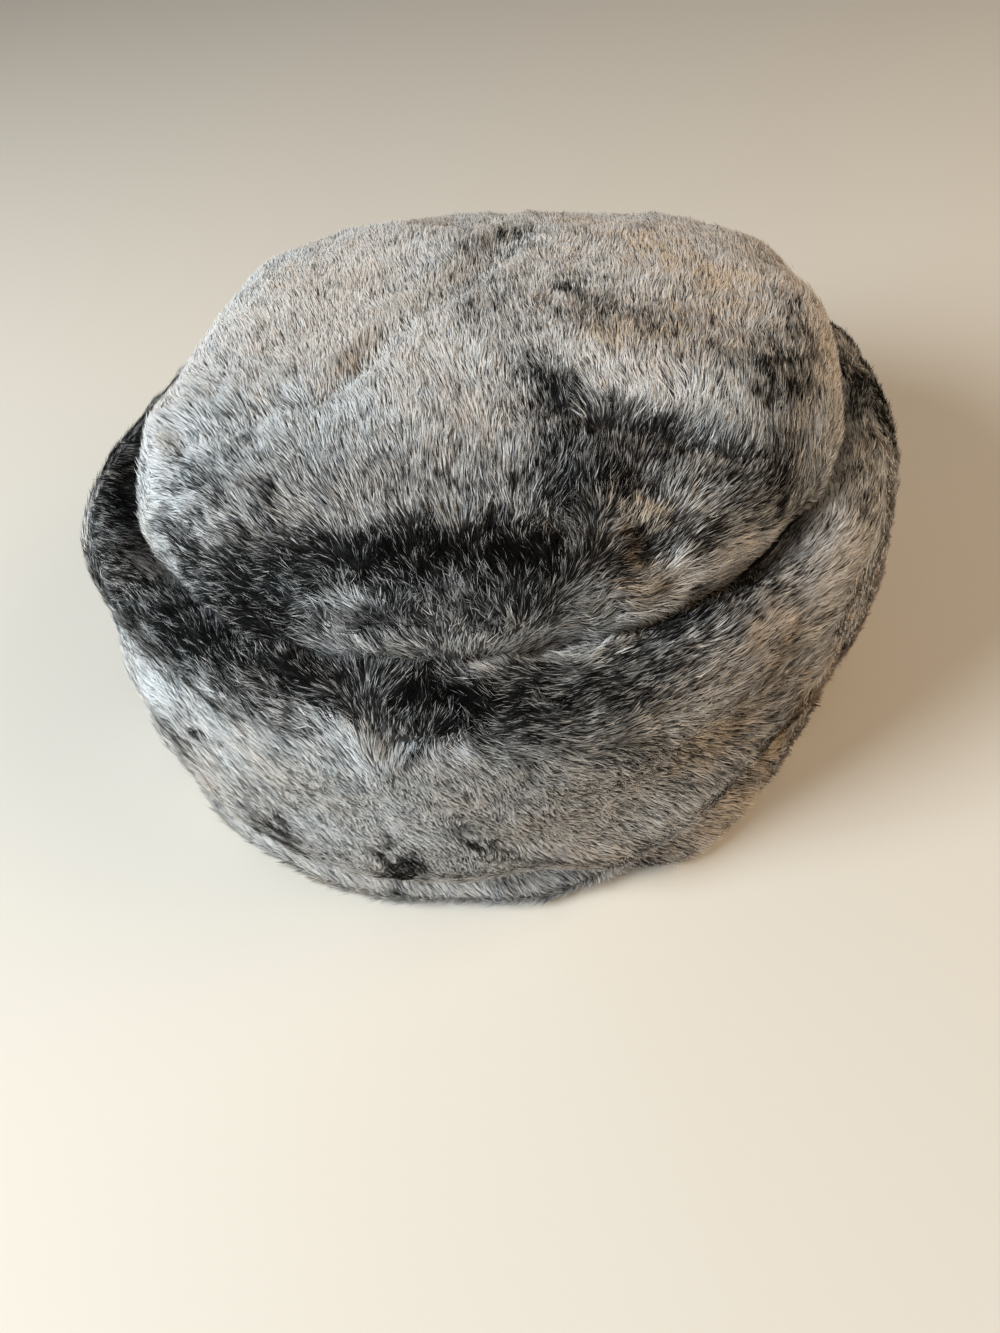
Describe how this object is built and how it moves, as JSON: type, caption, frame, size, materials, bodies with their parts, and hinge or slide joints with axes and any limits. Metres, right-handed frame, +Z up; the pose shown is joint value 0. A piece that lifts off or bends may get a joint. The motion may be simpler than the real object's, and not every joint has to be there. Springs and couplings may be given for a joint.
{
  "type": "round fur telpek hat",
  "caption": "Round fur hat with a puffed crown sewn into a rolled side band, hollow and open below for a head, standing on its base rim.",
  "frame": {"origin": "middle of the base, on the surface that the hat stands on", "axes": "+Z up through the crown, -Y towards the viewer's side of the hat, +X to the viewer's right"},
  "size_m": [0.2432, 0.2404, 0.1221],
  "materials": {
    "crown_fur": "short dense pile combed to the back, charcoal roots under silver and cream tips",
    "band_fur": "short dense pile combed up and round, charcoal roots under silver tips, near black along the roll"
  },
  "bodies": {
    "root": {"crown": "crown_fur", "side_band": "band_fur"}
  },
  "joints": []
}
